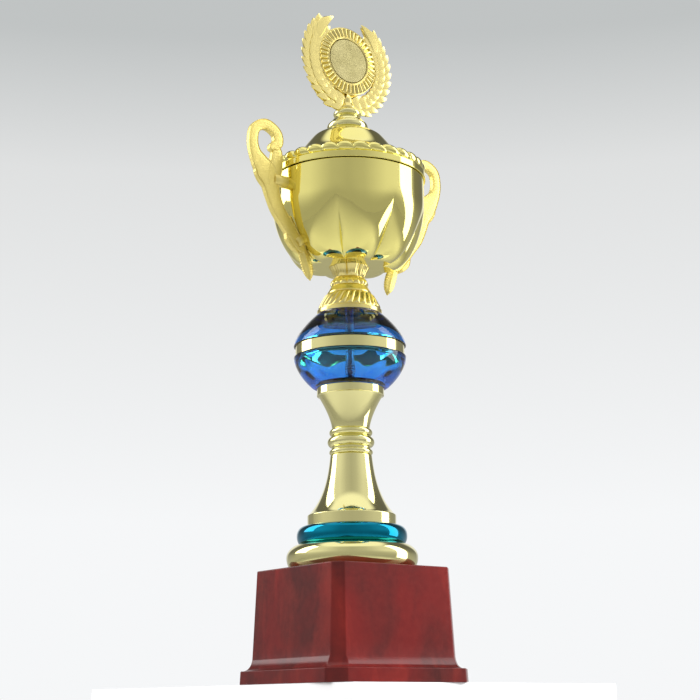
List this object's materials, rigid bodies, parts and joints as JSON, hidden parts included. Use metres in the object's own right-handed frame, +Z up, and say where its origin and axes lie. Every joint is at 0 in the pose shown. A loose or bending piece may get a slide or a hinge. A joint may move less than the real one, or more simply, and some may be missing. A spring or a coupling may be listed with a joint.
{
  "type": "cup trophy",
  "caption": "Award cup: a lobed gilt bowl with two handles and a lift-off lid with a laurel wreath, on a turned column with a clear blue ball and a square marbled plinth.",
  "frame": {"origin": "centre of the plinth's underside, on the surface that it stands on", "axes": "+Z up; the front, which the wreath's disc faces, is -Y; the handles lie along +X and -X"},
  "size_m": [0.1304, 0.09, 0.3646],
  "materials": {
    "red_marbled_plastic": "gloss, dark red marbled with darker and lighter streaks",
    "black_foam": "matt closed-cell foam sheet",
    "ballast_iron": "rough cast plate",
    "zinc_steel": "bright zinc-plated fasteners",
    "gold_plastic": "vacuum-metallised pale gold, mirror bright",
    "blue_metallic_plastic": "metallised teal blue, mirror bright",
    "clear_blue_plastic": "clear deep blue, polished",
    "gilt_sheet": "polished gilt sheet metal",
    "gilt_casting": "satin gilt casting",
    "brushed_gold_disc": "fine brushed gold"
  },
  "bodies": {
    "root": {"base_shell": "red_marbled_plastic", "base_cover": "black_foam", "ballast_plate": "ballast_iron", "base_washer": "zinc_steel", "base_nut": "zinc_steel", "tie_rod": "zinc_steel", "gold_ring": "gold_plastic", "blue_ring": "blue_metallic_plastic", "column": "gold_plastic", "ball_lower": "clear_blue_plastic", "ball_ring": "gold_plastic", "ball_upper": "clear_blue_plastic", "stem": "gold_plastic", "cup_bowl": "gilt_sheet", "cup_washer": "zinc_steel", "cup_nut": "zinc_steel", "handle_left": "gilt_casting", "handle_right": "gilt_casting", "handle_screws": "zinc_steel"},
    "lid": {"lid_shell": "gilt_sheet", "finial_neck": "gold_plastic", "wreath_holder": "gilt_casting", "centre_disc": "brushed_gold_disc", "finial_screw": "zinc_steel", "finial_washer": "zinc_steel"}
  },
  "joints": [
    {"name": "lid_lift", "type": "slide", "parent": "root", "child": "lid", "axis": [0, 0, 1], "range_m": [0, 0.06]}
  ]
}
